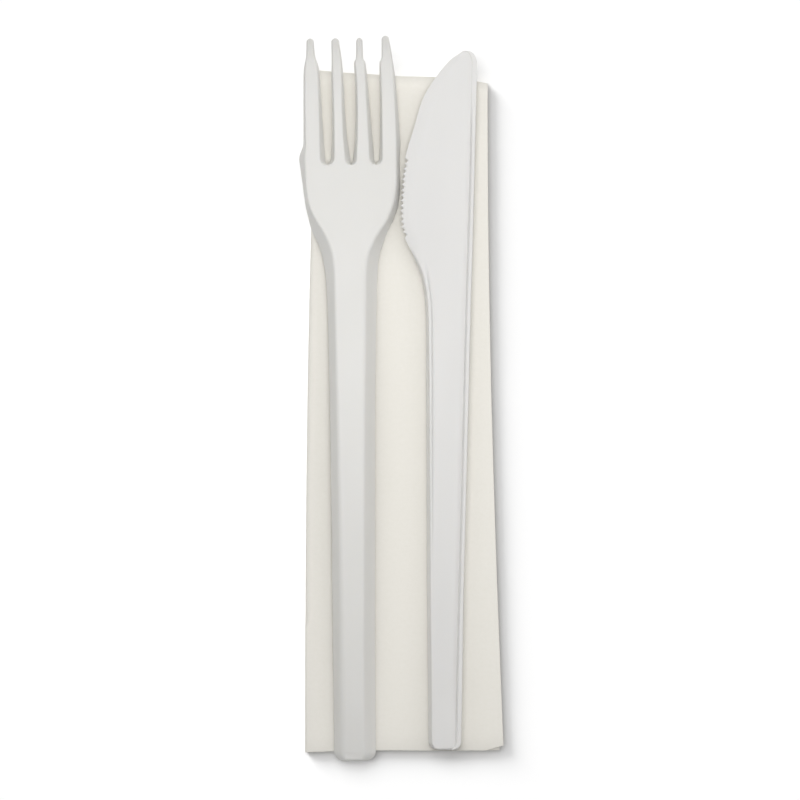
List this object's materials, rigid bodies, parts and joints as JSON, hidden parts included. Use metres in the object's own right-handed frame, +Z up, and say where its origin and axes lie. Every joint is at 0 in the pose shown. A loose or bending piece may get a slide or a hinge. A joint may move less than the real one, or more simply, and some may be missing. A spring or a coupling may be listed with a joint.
{
  "type": "reusable cutlery set",
  "caption": "Moulded fork and serrated knife lying side by side on a folded paper napkin, ready for a place at table.",
  "frame": {"origin": "on the surface that the set lies on, under the middle of the set's box", "axes": "+Y along the set, from the butts of the handles to the tips, +X from the fork to the knife, +Z up"},
  "size_m": [0.0466, 0.165, 0.009],
  "materials": {
    "fork_plastic": "off-white moulded bioplastic, satin",
    "knife_plastic": "off-white moulded bioplastic, satin",
    "napkin_paper": "cream-white creped tissue paper, matte"
  },
  "bodies": {
    "root": {"fork": "fork_plastic", "knife": "knife_plastic", "napkin": "napkin_paper"}
  },
  "joints": []
}
